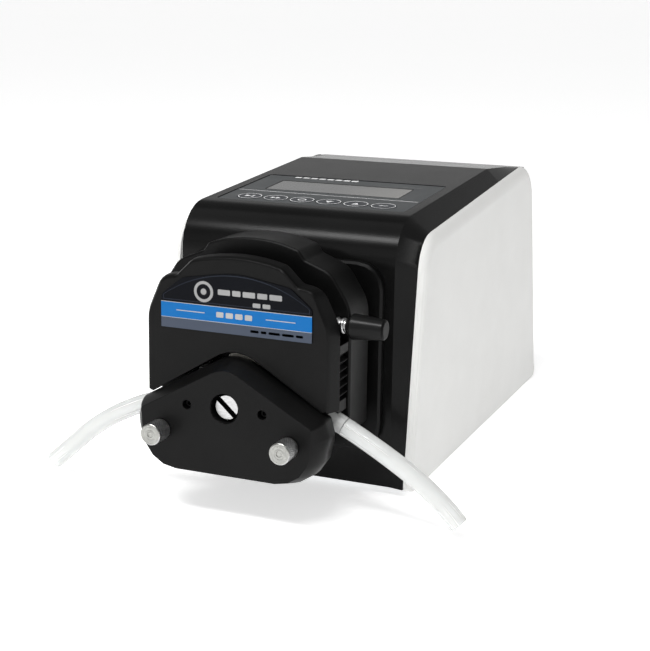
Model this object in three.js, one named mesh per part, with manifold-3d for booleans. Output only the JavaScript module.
// Variable-speed peristaltic pump: a bench-top drive with a lever-opened roller pump head on its front.
// Millimetres, +Z up. The front faces -Y and the viewer's right is +X.
// Drive coordinates: x = 0 is the middle, y = 0 the front face, z = 0 the bottom edge of the side panels.

import * as THREE from 'three';
import { mergeVertices } from 'three/addons/utils/BufferGeometryUtils.js';
import Module from 'manifold-3d';

const wasm = await Module();
wasm.setup();

const { PI, cos, sin, tan, sqrt, abs } = Math;
const deg = (angle) => angle * PI / 180;

// ---------------------------------------------------------------- driving dimensions

const GAP = 0.3;                  // clearance between pieces that touch
const CURVE_STEPS = 28;           // sides of a large round

// drive casing
const FACE_HALF_WIDTH = 62.2;     // flat front and top faces
const SEAM_HALF_WIDTH = 70;       // where the black shell meets the side panels
const CASE_HALF_WIDTH = 75;       // outside of the side panels
const WALL = 3;
const DECK_ANGLE = 3.6;           // the top face rises to the back
const DECK_START = [25, 146];     // y, z where the flat top begins
const FRONT_ROUND = 25;           // big round from the front face to the top
const RIDGE = [162.3, 154.6];     // y, z of the highest line of the top
const SHELL_REAR = [221.5, 149.7];
const SHELL_BOTTOM = 1.5;
const FOOT_HEIGHT = 3;            // what the feet stand below the side panels
const REAR_ANGLE = 12.5;          // the back leans in towards the top
const REAR_BOTTOM = [254, 3];     // y, z of the foot of the rear panel
const REAR_LENGTH = 145.8;
const REAR_HALF_WIDTH = 69.5;
const BASE = { front: 4, rear: 248, bottom: 1.3, top: 3 };

// keypad on the top face, in deck coordinates: x across, v up the slope
const KEYPAD = { halfWidth: 56, front: 4.1, rear: 77.3, corner: 3, depth: 1.2, film: 0.8 };
const KEY = { count: 6, pitch: 16.1, v: 15, halfWidth: 7.2, halfDepth: 6.8, travel: 0.4 };
const WINDOW = { halfWidth: 41, front: 36.8, rear: 62.7, corner: 1.5 };

// pump head, planes along Y from the front to the back
const LOWER_FRONT = -73.1;
const LOWER_REAR = -52.4;
const COVER_FRONT = -59.9;
const COVER_REAR = -52.1;
const REAR_PLATE_FRONT = -40;
const REAR_PLATE_REAR = -15.6;
const BACK_PLATE = [-15.3, -5.6];
const BOSS = [-5.3, -0.3];
const CHANNEL = (COVER_REAR + REAR_PLATE_FRONT) / 2;     // middle of the tube channel

// rotor and tube
const AXIS_Z = 57.7;
const SHAFT_RADIUS = 5;
const SHAFT_HEAD_RADIUS = 7;
const SHAFT_CLEARANCE = 0.8;
const ROLLER_RADIUS = 10;
const ROLLER_ORBIT = 16;
const DISC_RADIUS = 20;
const SWEEP = ROLLER_ORBIT + ROLLER_RADIUS;
const BED_RADIUS = 29.8;
const TUBE_RADIUS = 4.8;
const TUBE_WALL = 1.6;
const TUBE_EXIT = [54, 48.3];     // x, z where the tube leaves the head

// head fittings
const THUMBSCREW = { x: 35.6, z: 42.8, radius: 5.6, face: -84.9, shank: 2.5, tip: -1 };
const SCREW_HOLE = { x: 20.9, z: 57.4, radius: 2.5, depth: 6 };
const LEVER_Z = 100.2;
const HUB_RADIUS = 8;
const ROD_RADIUS = 3.6;
const KNOB = { start: 54.9, end: 75, root: 6.6, tip: 5.2 };
const GUIDE = { x: 22, y: -28, radius: 3, bottom: 73, top: 122 };

// ---------------------------------------------------------------- materials

const material = (color, roughness, metalness = 0) =>
  new THREE.MeshStandardMaterial({ color, roughness, metalness });

const blackGloss = material(0x101113, 0.32);
const blackMatte = material(0x17181a, 0.6);
const whitePlastic = material(0xe9e9e6, 0.45);
const steel = material(0xc9c9c6, 0.3, 1);
const darkSteel = material(0x55585c, 0.45, 1);
const zincSheet = material(0xa8acb0, 0.5, 1);
const rubber = material(0x1c1c1c, 0.9);
const film = material(0x3a4450, 0.5);
const glassGrey = material(0x9aa08f, 0.2);
const keyGrey = material(0x46525f, 0.55);
const boardGreen = material(0x1d5a36, 0.6);
const nylon = material(0xd8d6cc, 0.5);
const labelBlue = material(0x1f6fc4, 0.4);
const silicone = material(0xdfe2d8, 0.35);
const cream = material(0xece9d6, 0.4);

// ---------------------------------------------------------------- solids

// A closed mesh from points and triangles, turned so that its faces point out.
function closedMesh(points, triangles) {
  let volume = 0;
  const a = new THREE.Vector3();
  const b = new THREE.Vector3();
  const c = new THREE.Vector3();
  for (const [i, j, k] of triangles) {
    a.copy(points[i]);
    b.copy(points[j]);
    c.copy(points[k]);
    volume += a.dot(b.cross(c));
  }
  const facing = volume > 0 ? triangles : triangles.map(([i, j, k]) => [i, k, j]);
  const geometry = new THREE.BufferGeometry();
  geometry.setAttribute('position', new THREE.Float32BufferAttribute(points.flatMap((p) => p.toArray()), 3));
  geometry.setIndex(facing.flat());
  return geometry;
}

// Joins rings of points, each with the same count, into a closed solid with flat ends.
// flatten gives a ring's points as seen along the loft, for the triangles of its ends.
function loft(rings, flatten) {
  const count = rings[0].length;
  const triangles = [];
  for (let ring = 0; ring + 1 < rings.length; ring += 1) {
    const low = ring * count;
    const high = low + count;
    for (let i = 0; i < count; i += 1) {
      const next = (i + 1) % count;
      triangles.push([low + i, low + next, high + next], [low + i, high + next, high + i]);
    }
  }
  const last = rings.length - 1;
  triangles.push(...endTriangles(rings[0].map(flatten), -1, 0));
  triangles.push(...endTriangles(rings[last].map(flatten), 1, last * count));
  return closedMesh(rings.flat(), triangles);
}

// Triangles of one flat end, wound with its ring (facing 1) or against it (facing -1).
function endTriangles(flat, facing, first) {
  const { area, triangulateShape } = THREE.ShapeUtils;
  const wound = Math.sign(area(flat)) * facing;
  return triangulateShape(flat, []).map(([i, j, k]) => {
    const same = Math.sign(area([flat[i], flat[j], flat[k]])) === wound;
    return same ? [first + i, first + j, first + k] : [first + i, first + k, first + j];
  });
}

const ringAcrossX = (outline, x) => outline.map(([y, z]) => new THREE.Vector3(x, y, z));
const ringAcrossY = (outline, y) => outline.map(([x, z]) => new THREE.Vector3(x, y, z));
const flattenX = (p) => new THREE.Vector2(p.y, p.z);
const flattenY = (p) => new THREE.Vector2(-p.x, p.z);

// stations are [place along the axis, outline] pairs
const loftAlongX = (stations) => loft(stations.map(([x, outline]) => ringAcrossX(outline, x)), flattenX);
const loftAlongY = (stations) => loft(stations.map(([y, outline]) => ringAcrossY(outline, y)), flattenY);

// An outline from corner points [a, b, radius], each rounded with the same number of steps.
function roundedOutline(corners, steps = 4) {
  const outline = [];
  corners.forEach(([a, b, radius = 0], i) => {
    if (!radius) {
      outline.push([a, b]);
      return;
    }
    const corner = new THREE.Vector2(a, b);
    const before = new THREE.Vector2(...corners[(i + corners.length - 1) % corners.length]).sub(corner);
    const after = new THREE.Vector2(...corners[(i + 1) % corners.length]).sub(corner);
    before.normalize();
    after.normalize();
    const half = Math.acos(THREE.MathUtils.clamp(before.dot(after), -1, 1)) / 2;
    const centre = before.clone().add(after).normalize().multiplyScalar(radius / sin(half)).add(corner);
    const start = before.multiplyScalar(radius / tan(half)).add(corner).sub(centre);
    const end = after.multiplyScalar(radius / tan(half)).add(corner).sub(centre);
    const from = start.angle();
    let turn = end.angle() - from;
    if (turn > PI) turn -= 2 * PI;
    if (turn < -PI) turn += 2 * PI;
    for (let step = 0; step <= steps; step += 1) {
      const angle = from + turn * step / steps;
      outline.push([centre.x + radius * cos(angle), centre.y + radius * sin(angle)]);
    }
  });
  return outline;
}

const mirrored = (corners) => [...corners, ...corners.map(([a, ...rest]) => [-a, ...rest]).reverse()];
const pointsOnly = (corners) => corners.map(([a, b]) => [a, b]);

// Moves an outline inwards by a distance; share scales the move of each point.
function inset(outline, distance, share = () => 1) {
  const area = THREE.ShapeUtils.area(outline.map(([a, b]) => new THREE.Vector2(a, b)));
  const side = Math.sign(area);
  return outline.map(([a, b], i) => {
    const [pa, pb] = outline[(i + outline.length - 1) % outline.length];
    const [na, nb] = outline[(i + 1) % outline.length];
    const into = new THREE.Vector2(a - pa, b - pb).normalize();
    const out = new THREE.Vector2(na - a, nb - b).normalize();
    const normal = new THREE.Vector2(-into.y - out.y, into.x + out.x).multiplyScalar(side).normalize();
    const lean = Math.max(0.5, normal.dot(new THREE.Vector2(-out.y, out.x).multiplyScalar(side)));
    const move = distance * share(a, b) / lean;
    return [a + normal.x * move, b + normal.y * move];
  });
}

const shapeOf = (outline) => new THREE.Shape(outline.map(([a, b]) => new THREE.Vector2(a, b)));
const prismAlongY = (outline, front, back) => loftAlongY([[front, outline], [back, outline]]);
const prismAlongX = (outline, left, right) => loftAlongX([[left, outline], [right, outline]]);

function prismAlongZ(outline, bottom, top) {
  const geometry = new THREE.ExtrudeGeometry(shapeOf(outline), { depth: top - bottom, bevelEnabled: false });
  return geometry.translate(0, 0, bottom);
}

const box = (x0, x1, y0, y1, z0, z1) => new THREE.BoxGeometry(x1 - x0, y1 - y0, z1 - z0)
  .translate((x0 + x1) / 2, (y0 + y1) / 2, (z0 + z1) / 2);

const rectangle = (a0, a1, b0, b1, radius, steps = 4) =>
  roundedOutline([[a0, b0, radius], [a1, b0, radius], [a1, b1, radius], [a0, b1, radius]], steps);

const cylinderY = (radius, front, back, x = 0, z = 0, sides = 20) =>
  new THREE.CylinderGeometry(radius, radius, back - front, sides).translate(x, (front + back) / 2, z);
const cylinderX = (radius, left, right, y, z, sides = 16) =>
  new THREE.CylinderGeometry(radius, radius, right - left, sides).rotateZ(-PI / 2)
    .translate((left + right) / 2, y, z);
const cylinderZ = (radius, bottom, top, x, y, sides = 16) =>
  new THREE.CylinderGeometry(radius, radius, top - bottom, sides).rotateX(PI / 2)
    .translate(x, y, (bottom + top) / 2);

// A body of revolution about an axis along Y, from [radius, y] pairs.
const turnedY = (profile, sides = 24) =>
  new THREE.LatheGeometry(profile.map(([radius, y]) => new THREE.Vector2(radius, y)), sides);

function toManifold(geometry) {
  const bare = geometry.clone();
  bare.deleteAttribute('normal');
  bare.deleteAttribute('uv');
  const merged = mergeVertices(bare, 1e-4);
  return new wasm.Manifold(new wasm.Mesh({
    numProp: 3,
    vertProperties: new Float32Array(merged.attributes.position.array),
    triVerts: new Uint32Array(merged.index.array),
  }));
}

function fromManifold(manifold) {
  const { vertProperties, triVerts } = manifold.getMesh();
  const geometry = new THREE.BufferGeometry();
  geometry.setAttribute('position', new THREE.BufferAttribute(new Float32Array(vertProperties), 3));
  geometry.setIndex(new THREE.BufferAttribute(new Uint32Array(triVerts), 1));
  return geometry;
}

const cut = (base, ...tools) =>
  fromManifold(tools.reduce((solid, tool) => solid.subtract(toManifold(tool)), toManifold(base)));
const join = (base, ...others) =>
  fromManifold(others.reduce((solid, other) => solid.add(toManifold(other)), toManifold(base)));

// ---------------------------------------------------------------- scene graph

const pump = new THREE.Group();
const drive = new THREE.Group();
pump.add(drive);

const deck = new THREE.Group();
deck.position.set(0, DECK_START[0], DECK_START[1]);
deck.rotation.x = deg(DECK_ANGLE);
drive.add(deck);

const rear = new THREE.Group();
rear.position.set(0, REAR_BOTTOM[0], REAR_BOTTOM[1]);
rear.rotation.x = deg(REAR_ANGLE);
drive.add(rear);

function piece(name, geometry, look, parent = drive) {
  const mesh = new THREE.Mesh(geometry, look);
  mesh.name = name;
  parent.add(mesh);
  return mesh;
}

const SIDES = [['left', -1], ['right', 1]];
const flipX = (outline, side) => outline.map(([x, z]) => [x * side, z]);

// ---------------------------------------------------------------- drive casing

// The shell's section where the flat faces end: a C of even wall, open below and behind.
function faceSection(offset) {
  const [y, z] = DECK_START;
  const radius = FRONT_ROUND - offset;
  const centreZ = z - FRONT_ROUND / cos(deg(DECK_ANGLE));
  const steps = 8;
  const section = [[offset, SHELL_BOTTOM]];
  for (let step = 0; step <= steps; step += 1) {
    const angle = PI - (PI / 2 - deg(DECK_ANGLE)) * step / steps;
    section.push([y + radius * cos(angle), centreZ + radius * sin(angle)]);
  }
  section.push([RIDGE[0], RIDGE[1] - offset]);
  section.push([206, 151 - offset]);
  section.push([SHELL_REAR[0] - offset / 3, SHELL_REAR[1] - offset]);
  return section;
}

// The shell's section at the seam: the front edge leans forward and the top edge sits lower.
const SEAM_FRONT = [[-1.6, SHELL_BOTTOM], [11.6, 108]];
const SEAM_TOP = [[31, 136.3], [206, 151]];
const SEAM_ROUND = 20;

function crossing([[a, b], [c, d]], [[e, f], [g, h]]) {
  const span = (a - c) * (f - h) - (b - d) * (e - g);
  const first = a * d - b * c;
  const second = e * h - f * g;
  return [(first * (e - g) - (a - c) * second) / span, (first * (f - h) - (b - d) * second) / span];
}

function seamEdge() {
  const corner = crossing(SEAM_FRONT, SEAM_TOP);
  const ridgeZ = SEAM_TOP[0][1] + (RIDGE[0] - SEAM_TOP[0][0]) * (SEAM_TOP[1][1] - SEAM_TOP[0][1])
    / (SEAM_TOP[1][0] - SEAM_TOP[0][0]);
  return roundedOutline([SEAM_FRONT[0], [...corner, SEAM_ROUND], [RIDGE[0], ridgeZ], SEAM_TOP[1], SHELL_REAR], 8);
}

function seamSection(offset) {
  return seamEdge().map(([y, z], i, edge) => {
    if (i === 0) return [y + offset, z];
    const [py, pz] = edge[i - 1];
    const [ny, nz] = edge[Math.min(i + 1, edge.length - 1)];
    const along = new THREE.Vector2(ny - py, nz - pz).normalize();
    return [y + along.y * offset, z - along.x * offset];
  });
}

function frontShell() {
  const faceC = [...faceSection(0), ...faceSection(WALL).reverse()];
  const seamC = [...seamSection(0), ...seamSection(WALL).reverse()];
  const body = loftAlongX([
    [-SEAM_HALF_WIDTH, seamC],
    [-FACE_HALF_WIDTH, faceC],
    [FACE_HALF_WIDTH, faceC],
    [SEAM_HALF_WIDTH, seamC],
  ]);
  const onDeck = (geometry) => geometry.rotateX(deg(DECK_ANGLE)).translate(0, DECK_START[0], DECK_START[1]);
  const { halfWidth, front, rear: back, corner, depth } = KEYPAD;
  const recess = prismAlongZ(rectangle(-halfWidth - GAP, halfWidth + GAP, front - GAP, back + GAP, corner),
    -depth, 5);
  const opening = prismAlongZ(rectangle(-WINDOW.halfWidth, WINDOW.halfWidth, WINDOW.front, WINDOW.rear, 1), -9, 5);
  const keyHoles = keyCentres().map((x) => prismAlongZ(keyOutline(x, GAP + 0.1), -9, 5));
  const shaftHole = cylinderY(11, -10, 10, 0, AXIS_Z);
  return cut(body, onDeck(recess), onDeck(opening), ...keyHoles.map(onDeck), shaftHole);
}

function keyCentres() {
  return Array.from({ length: KEY.count }, (_, i) => (i - (KEY.count - 1) / 2) * KEY.pitch);
}

function keyOutline(centre, grow = 0) {
  const steps = 20;
  return Array.from({ length: steps }, (_, i) => {
    const angle = 2 * PI * i / steps;
    return [centre + (KEY.halfWidth + grow) * cos(angle), KEY.v + (KEY.halfDepth + grow) * sin(angle)];
  });
}

piece('front_shell', frontShell(), blackGloss);

// Side panels: the seam's outline carried round the back, with a wide soft margin towards the outside.
const PANEL_FRONT_CORNER = [-1.9, 0, 4];
const PANEL_REAR_TOP = [229, 153, 26];
const PANEL_REAR_BOTTOM = [261.5, 0, 8];
const PANEL_INNER = SEAM_HALF_WIDTH + GAP;
const PANEL_MARGIN = 8;

function panelOutline(offset = 0) {
  const corners = [PANEL_FRONT_CORNER, [...crossing(SEAM_FRONT, SEAM_TOP), SEAM_ROUND],
    PANEL_REAR_TOP, PANEL_REAR_BOTTOM];
  const moved = inset(pointsOnly(corners), offset);
  return roundedOutline(moved.map(([y, z], i) => [y, z, Math.max(1, corners[i][2] - offset)]), 6);
}

// The margin fades out along the bottom edge.
const marginShare = (y, z) => THREE.MathUtils.clamp(z / 14, 0.06, 1);

function sidePanel(side) {
  const outline = panelOutline();
  const steps = 5;
  const depth = CASE_HALF_WIDTH - PANEL_INNER;
  const stations = [];
  for (let step = 0; step <= steps; step += 1) {
    const angle = (PI / 2) * step / steps;
    const x = PANEL_INNER + depth * sin(angle);
    stations.push([side * x, inset(outline, PANEL_MARGIN * (1 - cos(angle)), marginShare)]);
  }
  const pocket = panelOutline(6);
  const hollow = loftAlongX([[side * (PANEL_INNER - 1), pocket], [side * (PANEL_INNER + 2), pocket]]);
  return cut(loftAlongX(stations), hollow);
}

for (const [name, side] of SIDES) piece(`${name}_panel`, sidePanel(side), whitePlastic);

piece('base_plate', box(-REAR_HALF_WIDTH, REAR_HALF_WIDTH, BASE.front, BASE.rear, BASE.bottom, BASE.top), zincSheet);

const FOOT = { radius: 8, x: 56, front: 22, rear: 232 };
for (const [name, side] of SIDES) {
  for (const [end, y] of [['front', FOOT.front], ['rear', FOOT.rear]]) {
    const foot = cylinderZ(FOOT.radius, -FOOT_HEIGHT, BASE.bottom - GAP, side * FOOT.x, y, 20);
    piece(`foot_${end}_${name}`, foot, rubber);
  }
}

// ---------------------------------------------------------------- keypad and display

const FILM_BOTTOM = -KEYPAD.depth + GAP;
const FILM_TOP = FILM_BOTTOM + KEYPAD.film;

function keypadFilm() {
  const { halfWidth, front, rear: back, corner } = KEYPAD;
  const sheet = prismAlongZ(rectangle(-halfWidth, halfWidth, front, back, corner), FILM_BOTTOM, FILM_TOP);
  const window = prismAlongZ(rectangle(-WINDOW.halfWidth - GAP, WINDOW.halfWidth + GAP,
    WINDOW.front - GAP, WINDOW.rear + GAP, WINDOW.corner), -3, 3);
  return cut(sheet, window, ...keyCentres().map((x) => prismAlongZ(keyOutline(x, GAP), -3, 3)));
}

piece('keypad_film', keypadFilm(), film, deck);
piece('display_window', prismAlongZ(rectangle(-WINDOW.halfWidth, WINDOW.halfWidth, WINDOW.front, WINDOW.rear,
  WINDOW.corner), FILM_BOTTOM, FILM_TOP - 0.1), glassGrey, deck);

const KEY_BOTTOM = -3.1;
keyCentres().forEach((x, i) => {
  piece(`key_${i + 1}`, prismAlongZ(keyOutline(x), KEY_BOTTOM, FILM_TOP + 0.15), keyGrey, deck);
});

function displayBoard() {
  const top = KEY_BOTTOM - KEY.travel - 0.2;
  const card = box(-54, 54, 5, 76, top - 1.6, top);
  const glass = box(-WINDOW.halfWidth + 1, WINDOW.halfWidth - 1, WINDOW.front + 1, WINDOW.rear - 1, top - 0.5, -1.4);
  const plug = box(-12, 12, 66, 74, top - 8, top - 1);
  return join(card, glass, plug);
}
piece('display_board', displayBoard(), boardGreen, deck);

// ---------------------------------------------------------------- drive internals

const MOTOR = { half: 28.2, front: 18.3, rear: 74 };

function motorBracket() {
  const wall = box(-36, 36, 14, 18, BASE.top + GAP, 94);
  const foot = box(-36, 36, 14, 44, BASE.top + GAP, BASE.top + GAP + 2.5);
  const gusset = box(-36, -33.5, 14, 34, BASE.top + GAP, 40);
  const gusset2 = box(33.5, 36, 14, 34, BASE.top + GAP, 40);
  return cut(join(wall, foot, gusset, gusset2), cylinderY(19.5, 10, 22, 0, AXIS_Z, CURVE_STEPS));
}

function motor() {
  const { half, front, rear: back } = MOTOR;
  const square = rectangle(-half, half, AXIS_Z - half, AXIS_Z + half, 5, 2);
  const waist = rectangle(-half + 1.2, half - 1.2, AXIS_Z - half + 1.2, AXIS_Z + half - 1.2, 6, 2);
  const stack = loftAlongY([
    [front, square], [front + 7, square], [front + 7.5, waist], [back - 9.5, waist], [back - 9, square], [back, square],
  ]);
  const pilot = cylinderY(18.8, front - 3, front + 1, 0, AXIS_Z, CURVE_STEPS);
  return cut(join(stack, pilot), cylinderY(4.4, front - 5, front + 8, 0, AXIS_Z));
}

// Sleeve on the motor's shaft, with a socket for the rotor's shaft at its front end.
function driveCoupling() {
  const sleeve = cylinderY(9.5, -14, 12, 0, AXIS_Z, CURVE_STEPS);
  const shaft = cylinderY(4, 11, MOTOR.front + 6, 0, AXIS_Z);
  return cut(join(sleeve, shaft), cylinderY(SHAFT_RADIUS + GAP, -16, -6, 0, AXIS_Z));
}

function controlBoard() {
  const card = box(-66, -64.4, 92, 205, 14, 118);
  const heatSink = box(-64.9, -52, 110, 128, 70, 110);
  const chip = box(-64.9, -61, 150, 172, 60, 82);
  const capacitors = [40, 58].map((z) => cylinderX(6, -64.9, -46, 186, z));
  const terminals = box(-64.9, -54, 130, 180, 18, 28);
  return join(card, heatSink, chip, terminals, ...capacitors);
}

function powerSupply() {
  const tray = box(6, 62, 96, 200, BASE.top + GAP, 42);
  const terminals = box(14, 54, 198, 208, 8, 22);
  return join(tray, terminals);
}

piece('motor_bracket', motorBracket(), zincSheet);
piece('motor', motor(), darkSteel);
piece('drive_coupling', driveCoupling(), steel);
piece('control_board', controlBoard(), boardGreen);
piece('power_supply', powerSupply(), zincSheet);

// ---------------------------------------------------------------- rear panel and its fittings

// In rear coordinates: x across, y out of the panel, z up along it.
const FAN = { x: 26, z: 96, half: 30, rotor: 27, hub: 12 };
const INLET = { x: -34, z: 32, halfWidth: 13.5, halfHeight: 10 };
const SWITCH = { x: -34, z: 66, halfWidth: 6.5, halfHeight: 9.5, lean: 8 };
const SOCKET = { x: 26, z: 34, halfWidth: 16, halfHeight: 5.5 };

function rearPanel() {
  const sheet = box(-REAR_HALF_WIDTH, REAR_HALF_WIDTH, -2, 0, 0, REAR_LENGTH);
  const slots = [];
  for (let row = -3; row <= 3; row += 1) {
    const z = FAN.z + row * 7;
    const half = sqrt(FAN.rotor ** 2 - (row * 7) ** 2);
    slots.push(box(FAN.x - half, FAN.x + half, -4, 2, z - 2.2, z + 2.2));
  }
  const cutouts = [INLET, SWITCH, SOCKET].map(({ x, z, halfWidth, halfHeight }) =>
    box(x - halfWidth - GAP, x + halfWidth + GAP, -4, 2, z - halfHeight - GAP, z + halfHeight + GAP));
  return cut(sheet, ...slots, ...cutouts);
}

function mainsInlet() {
  const { x, z, halfWidth, halfHeight } = INLET;
  const flange = prismAlongY(rectangle(x - 16, x + 16, z - 13, z + 13, 3), GAP, 2.8);
  const body = box(x - halfWidth, x + halfWidth, -20, 1, z - halfHeight, z + halfHeight);
  const mouth = roundedOutline([
    [x - 11.8, z - 8], [x + 11.8, z - 8], [x + 11.8, z + 3.5], [x + 7.5, z + 8], [x - 7.5, z + 8], [x - 11.8, z + 3.5],
  ]);
  const hollow = prismAlongY(mouth, -16, 5);
  const pins = [[-7, -1.5], [0, 2.5], [7, -1.5]].map(([dx, dz]) =>
    box(x + dx - 1, x + dx + 1, -17, -6, z + dz - 2.5, z + dz + 2.5));
  return join(cut(join(flange, body), hollow), ...pins);
}

function switchBezel() {
  const { x, z, halfWidth, halfHeight } = SWITCH;
  const flange = prismAlongY(rectangle(x - 10.5, x + 10.5, z - 15, z + 15, 2), GAP, 2);
  const body = box(x - halfWidth, x + halfWidth, -16, 1, z - halfHeight, z + halfHeight);
  const well = box(x - halfWidth + 1.2, x + halfWidth - 1.2, -8, 5, z - halfHeight + 1.2, z + halfHeight - 1.2);
  return cut(join(flange, body), well);
}

// A shallow V seen from the side, leaning to one side at rest.
function switchRocker() {
  const { x, lean, halfWidth } = SWITCH;
  const reach = 7.2;
  const rise = reach * tan(deg(lean));
  const side = [[-3, -3], [0.4, -reach], [0.4 + rise, -reach], [0.6, 0], [0.4 + rise, reach], [0.4, reach], [-3, 3]];
  const half = halfWidth - 1.2 - GAP;
  return prismAlongX(side, x - half, x + half).translate(0, -1, 0);
}

function signalSocket() {
  const { x, z, halfWidth, halfHeight } = SOCKET;
  const flange = prismAlongY(rectangle(x - 19.6, x + 19.6, z - 6.2, z + 6.2, 2), GAP, 1.2);
  const shell = prismAlongY(roundedOutline([
    [x - 13, z - 4, 2], [x + 13, z - 4, 2], [x + 14, z + 4, 2], [x - 14, z + 4, 2],
  ]), 0.5, 5.8);
  const body = box(x - halfWidth, x + halfWidth, -10, 0.6, z - halfHeight, z + halfHeight);
  return join(flange, shell, body);
}

function fanFrame() {
  const { x, z, half, rotor } = FAN;
  const frame = prismAlongY(rectangle(x - half, x + half, z - half, z + half, 4), -17.5, -2.3);
  const duct = cylinderY(rotor + 1.2, -20, 0, x, z, CURVE_STEPS);
  const spider = box(x - half + 1, x + half - 1, -17.5, -15.5, z - 2, z + 2);
  const spider2 = box(x - 2, x + 2, -17.5, -15.5, z - half + 1, z + half - 1);
  const stub = cylinderY(8, -17.5, -13.6, x, z);
  return join(cut(frame, duct), spider, spider2, stub);
}

function fanRotor() {
  const { rotor, hub } = FAN;
  const blades = 7;
  const parts = Array.from({ length: blades }, (_, i) => {
    const blade = new THREE.BoxGeometry(rotor - hub + 3, 1.2, 9).rotateX(deg(35)).translate((rotor + hub) / 2 - 1.6, 0, 0);
    return blade.rotateY(2 * PI * i / blades);
  });
  return join(cylinderY(hub, -4.5, 4.5), ...parts).translate(FAN.x, -8, FAN.z);
}

piece('rear_panel', rearPanel(), blackMatte, rear);
piece('mains_inlet', mainsInlet(), blackMatte, rear);
piece('switch_bezel', switchBezel(), blackMatte, rear);
const rocker = piece('power_switch', switchRocker(), blackGloss, rear);
rocker.position.set(0, 0, SWITCH.z);
rocker.rotation.x = deg(SWITCH.lean);
piece('signal_socket', signalSocket(), zincSheet, rear);
piece('fan_frame', fanFrame(), blackMatte, rear);
piece('fan_rotor', fanRotor(), blackMatte, rear);

// ---------------------------------------------------------------- pump head: fixed lower part

function mountingBoss() {
  const plate = rectangle(-57.3, 57.3, 22, 124, 14);
  const body = loftAlongY([[BOSS[0], inset(plate, 1.2)], [BOSS[0] + 1.2, plate], [BOSS[1], plate]]);
  const screws = SIDES.map(([, side]) =>
    cylinderY(THUMBSCREW.shank + GAP, -10, 5, side * THUMBSCREW.x, THUMBSCREW.z, 12));
  return cut(body, cylinderY(11, -10, 5, 0, AXIS_Z, CURVE_STEPS), ...screws);
}

function headBackPlate() {
  const plate = prismAlongY(rectangle(-46, 46, 27, 112, 8), ...BACK_PLATE);
  const screws = SIDES.map(([, side]) =>
    cylinderY(THUMBSCREW.shank + GAP, -20, 5, side * THUMBSCREW.x, THUMBSCREW.z, 12));
  return cut(plate, cylinderY(11, -20, 5, 0, AXIS_Z, CURVE_STEPS), ...screws);
}

// Outlines of the lower front plate, half of each: the roof, the short flank and the big bottom round.
const ROOF = { front: 79.2, rear: 84.1, slope: 0.5576, round: 20 };
const roofHeight = (x) => ROOF.rear - ROOF.slope * abs(x);
const symmetric = (corners, steps) => {
  const [apex, ...half] = corners;
  return roundedOutline([apex, ...half, ...half.map(([x, ...rest]) => [-x, ...rest]).reverse()], steps);
};
const LOWER_REAR_OUTLINE = symmetric([
  [0, ROOF.rear, ROOF.round], [50.9, roofHeight(50.9), 3], [53.2, 47.5, 4], [52.4, 19.9, 25],
]);
const LOWER_FRONT_OUTLINE = symmetric([
  [0, ROOF.front, 14], [47.3, ROOF.front - ROOF.slope * 47.3, 1], [46.9, 46, 4], [46, 22.5, 19],
]);
const LOWER_BEVEL_END = -62.6;
const LOWER_FLAT_END = -57;

// The roof and the bottom slope evenly back from the front face, and the flanks swell out faster.
function lowerSection(share) {
  const flankShare = 1 - (1 - share) ** 1.7;
  return LOWER_FRONT_OUTLINE.map(([x, z], i) => {
    const [rearX, rearZ] = LOWER_REAR_OUTLINE[i];
    return [x + (rearX - x) * flankShare, z + (rearZ - z) * share];
  });
}

function lowerFrontPlate() {
  const bevel = [0, 0.12, 0.3, 0.55, 0.8, 1].map((share) =>
    [LOWER_FRONT + (LOWER_BEVEL_END - LOWER_FRONT) * share, lowerSection(share)]);
  const body = loftAlongY([
    ...bevel,
    [LOWER_FLAT_END, LOWER_REAR_OUTLINE],
    [LOWER_REAR, inset(LOWER_REAR_OUTLINE, 1.8)],
  ]);
  const posts = SIDES.map(([, side]) =>
    cylinderY(4.5, LOWER_REAR - 2, REAR_PLATE_REAR, side * THUMBSCREW.x, THUMBSCREW.z));
  const screwBores = SIDES.map(([, side]) =>
    cylinderY(THUMBSCREW.shank + GAP, -90, 0, side * THUMBSCREW.x, THUMBSCREW.z, 12));
  const blindHoles = SIDES.map(([, side]) =>
    cylinderY(SCREW_HOLE.radius, -90, LOWER_FRONT + SCREW_HOLE.depth, side * SCREW_HOLE.x, SCREW_HOLE.z, 14));
  const shaftBore =
    cylinderY(SHAFT_HEAD_RADIUS + SHAFT_CLEARANCE, -90, BEARING.front - GAP, 0, AXIS_Z, CURVE_STEPS);
  const bearingSeat = cylinderY(BEARING.radius + GAP, BEARING.front - 1, -50, 0, AXIS_Z, CURVE_STEPS);
  const discPocket = cylinderY(DISC_RADIUS + 0.8, FRONT_DISC[0] - 0.4, -50, 0, AXIS_Z, CURVE_STEPS);
  return cut(join(body, ...posts), ...screwBores, ...blindHoles, shaftBore, bearingSeat, discPocket);
}

const BEARING = { radius: 9.5, front: -62, length: 4.8 };
const REAR_BEARING_FRONT = -35.2;
const FRONT_DISC = [-56.6, -52.8];
const REAR_DISC = [-39.3, -35.9];
const ROLLER_SPAN = [-51.7, -40.5];

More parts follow.
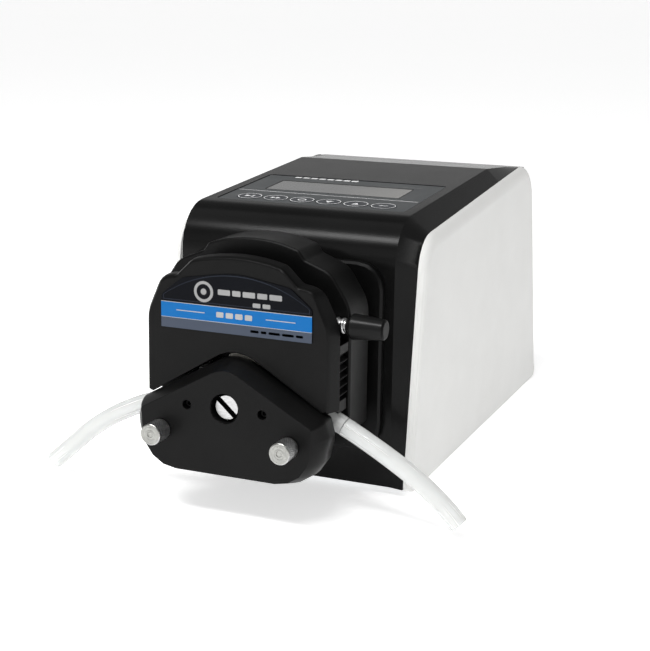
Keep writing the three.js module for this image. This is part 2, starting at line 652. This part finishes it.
function lowerHousing() {
  const block = prismAlongY(roundedOutline([[-30.5, 23], [30.5, 23], [30.5, 88, 10], [-30.5, 88, 10]]),
    REAR_PLATE_FRONT + GAP, REAR_PLATE_REAR);
  const bridge = box(-27, 27, COVER_REAR, REAR_PLATE_FRONT + 2, 23, AXIS_Z - SWEEP - 1.2);
  const discPocket = cylinderY(DISC_RADIUS + 0.8, -45, REAR_DISC[1] + 0.4, 0, AXIS_Z, CURVE_STEPS);
  const bearingSeat = cylinderY(BEARING.radius + GAP, -37, REAR_BEARING_FRONT + BEARING.length + GAP, 0, AXIS_Z,
    CURVE_STEPS);
  const shaftBore = cylinderY(SHAFT_RADIUS + 1, -45, 0, 0, AXIS_Z);
  const pinBores = SIDES.map(([, side]) =>
    cylinderZ(GUIDE.radius + GAP, GUIDE.bottom - GAP, 100, side * GUIDE.x, GUIDE.y));
  return cut(join(block, bridge), discPocket, bearingSeat, shaftBore, ...pinBores);
}

const bearingRing = (front) => turnedY([
  [SHAFT_RADIUS + GAP, front], [BEARING.radius, front], [BEARING.radius, front + BEARING.length],
  [SHAFT_RADIUS + GAP, front + BEARING.length], [SHAFT_RADIUS + GAP, front],
]).translate(0, 0, AXIS_Z);

function thumbscrew(side) {
  const { x, z, radius, face, shank, tip } = THUMBSCREW;
  const end = LOWER_FRONT - GAP;
  const profile = [
    [0, face + 0.5], [1.6, face + 0.5], [1.8, face], [radius - 0.7, face], [radius, face + 0.7],
    [radius, end - 0.7], [radius - 0.7, end], [shank, end], [shank, tip - 0.6], [shank - 0.6, tip], [0, tip],
  ];
  return turnedY(profile).translate(side * x, 0, z);
}

piece('mounting_boss', mountingBoss(), blackMatte);
piece('head_back_plate', headBackPlate(), blackMatte);
piece('lower_housing', lowerHousing(), blackMatte);
piece('lower_front_plate', lowerFrontPlate(), blackMatte);
piece('front_bearing', bearingRing(BEARING.front), steel);
piece('rear_bearing', bearingRing(REAR_BEARING_FRONT), steel);
for (const [name, side] of SIDES) {
  piece(`guide_pin_${name}`, cylinderZ(GUIDE.radius, GUIDE.bottom, GUIDE.top, side * GUIDE.x, GUIDE.y), steel);
  piece(`thumbscrew_${name}`, thumbscrew(side), steel);
}

// ---------------------------------------------------------------- pump head: rotor

const SHAFT_FACE = -69.9;
const SLOT = { width: 2.7, depth: 2.6, angle: 42 };
const ROLLER_COUNT = 3;
const rollerAngle = (i) => PI / 2 + 2 * PI * i / ROLLER_COUNT;
const rollerX = (i) => ROLLER_ORBIT * cos(rollerAngle(i));
const rollerZ = (i) => AXIS_Z + ROLLER_ORBIT * sin(rollerAngle(i));

function rotorShaft() {
  const neck = BEARING.front - GAP;
  const profile = [
    [0, SHAFT_FACE], [SHAFT_HEAD_RADIUS - 0.8, SHAFT_FACE], [SHAFT_HEAD_RADIUS, SHAFT_FACE + 0.8],
    [SHAFT_HEAD_RADIUS, neck - GAP], [SHAFT_RADIUS, neck - GAP], [SHAFT_RADIUS, -7], [0, -7],
  ];
  const slot = new THREE.BoxGeometry(30, 2 * SLOT.depth, SLOT.width).translate(0, SHAFT_FACE, 0)
    .rotateY(deg(SLOT.angle));
  return cut(turnedY(profile), slot).translate(0, 0, AXIS_Z);
}

function rotorDisc([front, back]) {
  const disc = cylinderY(DISC_RADIUS, front, back, 0, AXIS_Z, 36);
  const bores = Array.from({ length: ROLLER_COUNT }, (_, i) => cylinderY(2 + GAP, -90, 0, rollerX(i), rollerZ(i), 12));
  return cut(disc, cylinderY(SHAFT_RADIUS + GAP, -90, 0, 0, AXIS_Z), ...bores);
}

const roller = (i) => turnedY([
  [2 + GAP, ROLLER_SPAN[0]], [ROLLER_RADIUS - 0.8, ROLLER_SPAN[0]], [ROLLER_RADIUS, ROLLER_SPAN[0] + 0.8],
  [ROLLER_RADIUS, ROLLER_SPAN[1] - 0.8], [ROLLER_RADIUS - 0.8, ROLLER_SPAN[1]], [2 + GAP, ROLLER_SPAN[1]],
  [2 + GAP, ROLLER_SPAN[0]],
]).translate(rollerX(i), 0, rollerZ(i));

piece('rotor_shaft', rotorShaft(), steel);
piece('rotor_front_disc', rotorDisc(FRONT_DISC), darkSteel);
piece('rotor_rear_disc', rotorDisc(REAR_DISC), darkSteel);
for (let i = 0; i < ROLLER_COUNT; i += 1) {
  piece(`roller_pin_${i + 1}`, cylinderY(2, FRONT_DISC[0] + 0.4, REAR_DISC[1] - 0.4, rollerX(i), rollerZ(i), 12), steel);
  piece(`roller_${i + 1}`, roller(i), nylon);
}

// ---------------------------------------------------------------- pump head: lifting upper block

// The arch of the cover and of the rear plate, as short steps along one wide arc.
function archCorners(halfWidth, apex, radius, steps = 4) {
  return Array.from({ length: steps }, (_, i) => {
    const x = halfWidth * i / steps;
    return [x, apex - radius + sqrt(radius ** 2 - x ** 2), 0];
  });
}

const ROOF_GAP = 1.5;
const COVER_ARCH = archCorners(24.8, 132.8, 92);
const COVER_SIDE = [
  [25.2, 129.3, 6], [33.8, 120.9, 5], [44.3, 119.3, 11], [53.3, 101, 22], [53.6, 57.6, 1.6],
  [51, roofHeight(51) + ROOF_GAP, 0],
];
const REAR_ARCH = archCorners(22, 138.8, 80);
const REAR_SIDE = [[25.2, 134.5, 4], [28.6, 129.9, 3], [43, 124.3, 14], [54.1, 107, 22], [54.1, 42, 1.5]];

const bothSides = (half) => [...half, ...half.slice(1).map(([x, ...rest]) => [-x, ...rest]).reverse()];

function coverOutline() {
  const roofTop = roundedOutline([
    [48, roofHeight(48) + ROOF_GAP], [0, ROOF.rear + ROOF_GAP, ROOF.round], [-48, roofHeight(48) + ROOF_GAP],
  ]).filter(([x]) => abs(x) < 47);
  const rightHalf = [...COVER_ARCH, ...COVER_SIDE];
  const leftHalf = rightHalf.slice(1).map(([x, ...rest]) => [-x, ...rest]).reverse();
  return roundedOutline([...rightHalf, ...roofTop.map(([x, z]) => [x, z, 0]), ...leftHalf]);
}

// How far the cover's front edge draws in: a round along the top, and a wide slope down the sides.
const COVER_EDGE = [[0, 2.4, 3.9], [0.6, 1.3, 3.3], [2.2, 0.4, 2.4], [COVER_REAR - COVER_FRONT, 0, 0]];

function coverSection(outline, top, side) {
  const { smoothstep } = THREE.MathUtils;
  return outline.map(([x, z]) => {
    const inwards = side * smoothstep(abs(x), 38, 51);
    const downwards = z < roofHeight(x) + 4 ? -top / 2 : top * smoothstep(z, 95, 118);
    return [x - Math.sign(x) * inwards, z - downwards];
  });
}

function upperFrontCover() {
  const outline = coverOutline();
  const body = loftAlongY(COVER_EDGE.map(([depth, top, side]) =>
    [COVER_FRONT + depth, coverSection(outline, top, side)]));
  return cut(body, cylinderY(2.5 + GAP, COVER_REAR - 5.4, -50, 0, LEVER_Z));
}

function upperRearPlate() {
  const inner = [[41, 42, 0], [41, 50, 0], [31.5, 50, 0], [31.5, 90, 8]];
  const half = [...REAR_ARCH, ...REAR_SIDE, ...inner];
  const outline = roundedOutline(bothSides(half));
  const body = loftAlongY([
    [REAR_PLATE_FRONT, inset(outline, 0.8)],
    [REAR_PLATE_FRONT + 0.8, outline],
    [REAR_PLATE_REAR, outline],
  ]);
  const axleBore = cylinderY(2.5 + GAP, -45, -28.5, 0, LEVER_Z);
  const pinBores = SIDES.map(([, side]) => cylinderZ(GUIDE.radius + 0.4, 80, GUIDE.top + 2, side * GUIDE.x, GUIDE.y));
  return cut(body, axleBore, ...pinBores);
}

const BED = { halfWidth: 43, bottom: 70, top: 94 };

// The bed presses the tube onto the rollers along an arc about the rotor's axis.
function occlusionBed() {
  const front = COVER_REAR + GAP;
  const back = REAR_PLATE_FRONT - GAP;
  const block = prismAlongY(rectangle(-BED.halfWidth, BED.halfWidth, BED.bottom, BED.top, 2), front, back);
  const bore = cylinderY(BED_RADIUS, -60, -30, 0, AXIS_Z, 48);
  const hubPocket = cylinderY(HUB_RADIUS + 0.6, -60, -30, 0, LEVER_Z, CURVE_STEPS);
  return cut(block, bore, hubPocket);
}

const LABEL = { halfWidth: 41.8, bottom: 93.1, top: 112, apex: 124.5 };

function headLabel() {
  const outline = symmetric([
    [0, LABEL.apex, 60], [30, 119.5, 8], [LABEL.halfWidth, LABEL.top - 2, 4], [LABEL.halfWidth, LABEL.bottom, 1],
  ]);
  return prismAlongY(outline, COVER_FRONT - 2 * GAP, COVER_FRONT - GAP);
}

function leverRod() {
  const hub = cylinderY(HUB_RADIUS, COVER_REAR + 0.6, REAR_PLATE_FRONT - 0.6, 0, LEVER_Z, CURVE_STEPS);
  const axle = cylinderY(2.5, COVER_REAR - 5, -29, 0, LEVER_Z);
  const rod = cylinderX(ROD_RADIUS, 2, KNOB.start - GAP, CHANNEL, LEVER_Z);
  return join(hub, axle, rod);
}

function leverKnob() {
  const { start, end, root, tip } = KNOB;
  const profile = [
    [0, start], [4.4, start], [4.4, start + 1.2], [root, start + 2.6], [root, start + 4],
    [tip, end - 0.8], [tip - 0.8, end], [0, end],
  ];
  return turnedY(profile).rotateZ(-PI / 2).translate(0, CHANNEL, LEVER_Z);
}

// Toothed slider that holds the tube down where it leaves the head.
function tubeClamp(side) {
  const outer = 53.2;
  const inner = 45.5;
  const teeth = 6;
  const pitch = 4.2;
  const first = 62;
  const outline = [[inner, 59.4], [outer - 0.6, 56], [outer - 0.6, first]];
  for (let i = 0; i < teeth; i += 1) {
    outline.push([outer - 2.6, first + pitch * i + 0.8], [outer, first + pitch * (i + 0.8)]);
  }
  outline.push([outer, 91], [inner, 91]);
  return prismAlongY(flipX(outline, side), COVER_REAR + 0.5, REAR_PLATE_FRONT - 0.5);
}

piece('upper_front_cover', upperFrontCover(), blackMatte);
piece('upper_rear_plate', upperRearPlate(), blackMatte);
piece('occlusion_bed', occlusionBed(), blackMatte);
piece('head_label', headLabel(), labelBlue);
piece('lever_rod', leverRod(), steel);
piece('lever_knob', leverKnob(), blackMatte);
for (const [name, side] of SIDES) piece(`tube_clamp_${name}`, tubeClamp(side), blackMatte);

// ---------------------------------------------------------------- tubing

// Centre line in the channel's plane: up from the exit, round the rollers and down to the other exit.
const SQUEEZE_FROM = 25;          // angle above level where the bed has pressed the tube flat
const FLAT_HALF = TUBE_WALL;
const FLAT_RADIUS = SWEEP + 0.3 + FLAT_HALF;
const FLAT_HALF_WIDTH = 5.6;

function headTubeLine() {
  const start = new THREE.Vector2(TUBE_EXIT[0] - 0.2, TUBE_EXIT[1] + 0.1);
  const angle = deg(SQUEEZE_FROM);
  const meet = new THREE.Vector2(FLAT_RADIUS * cos(angle), AXIS_Z + FLAT_RADIUS * sin(angle));
  const rise = new THREE.CubicBezierCurve(
    start,
    start.clone().add(new THREE.Vector2(-13, 6.2)),
    meet.clone().add(new THREE.Vector2(sin(angle), -cos(angle)).multiplyScalar(7)),
    meet,
  );
  const line = [];
  const riseSteps = 9;
  for (let step = 0; step < riseSteps; step += 1) {
    const share = step / riseSteps;
    line.push({ point: rise.getPoint(share), along: rise.getTangent(share), squeeze: squeezeAt(share) });
  }
  const arcSteps = 16;
  for (let step = 0; step <= arcSteps; step += 1) {
    const turn = angle + (PI - 2 * angle) * step / arcSteps;
    line.push({
      point: new THREE.Vector2(FLAT_RADIUS * cos(turn), AXIS_Z + FLAT_RADIUS * sin(turn)),
      along: new THREE.Vector2(-sin(turn), cos(turn)),
      squeeze: 1,
    });
  }
  const back = line.slice(0, riseSteps).reverse().map(({ point, along, squeeze }) => ({
    point: new THREE.Vector2(-point.x, point.y),
    along: new THREE.Vector2(along.x, -along.y),
    squeeze,
  }));
  return [...line, ...back];
}

// 0 where the tube is round, 1 where it is pressed flat.
const squeezeAt = (share) => THREE.MathUtils.smoothstep(share, 0.35, 1);

function tubeInHead() {
  const sides = 12;
  const rings = headTubeLine().map(({ point, along, squeeze }) => {
    const across = new THREE.Vector2(-along.y, along.x);
    const half = THREE.MathUtils.lerp(TUBE_RADIUS, FLAT_HALF, squeeze);
    const width = THREE.MathUtils.lerp(TUBE_RADIUS, FLAT_HALF_WIDTH, squeeze);
    return Array.from({ length: sides }, (_, i) => {
      const angle = 2 * PI * i / sides;
      const off = half * sin(angle);
      return new THREE.Vector3(point.x + across.x * off, CHANNEL + width * cos(angle), point.y + across.y * off);
    });
  });
  return loft(rings, (p) => new THREE.Vector2(p.y, p.z));
}

// Free ends of the tube, cut square, as points [x, y, z] chosen along their natural droop.
const TUBE_RIGHT_PATH = [
  [54.4, CHANNEL, 48], [63.5, CHANNEL, 43.4], [78.6, CHANNEL, 35], [94.5, CHANNEL, 25], [107.5, CHANNEL, 14.4],
  [116, CHANNEL, 5.8],
];
const TUBE_LEFT_PATH = [
  [-54.4, CHANNEL, 48], [-64.5, CHANNEL, 44.2], [-79.5, CHANNEL, 36.6], [-94.2, CHANNEL, 26.6], [-108, CHANNEL, 14.4],
  [-118.6, CHANNEL, 5.2],
];

function freeTube(path) {
  const curve = new THREE.CatmullRomCurve3(path.map((p) => new THREE.Vector3(...p)));
  const sides = 10;
  const ring = Array.from({ length: sides }, (_, i) => [
    TUBE_RADIUS * cos(2 * PI * i / sides), TUBE_RADIUS * sin(2 * PI * i / sides),
  ]);
  return new THREE.ExtrudeGeometry(shapeOf(ring), { steps: 8, bevelEnabled: false, extrudePath: curve });
}

piece('tube_in_head', tubeInHead(), silicone);
piece('tube_right', freeTube(TUBE_RIGHT_PATH), silicone);
piece('tube_left', freeTube(TUBE_LEFT_PATH), cream);

// The origin is on the floor, midway between the thumbscrews' faces and the rear corner of the side panels.
const rearmost = Math.max(...panelOutline().map(([y]) => y));
drive.position.set(0, -(rearmost + THUMBSCREW.face) / 2, FOOT_HEIGHT);

export default pump;
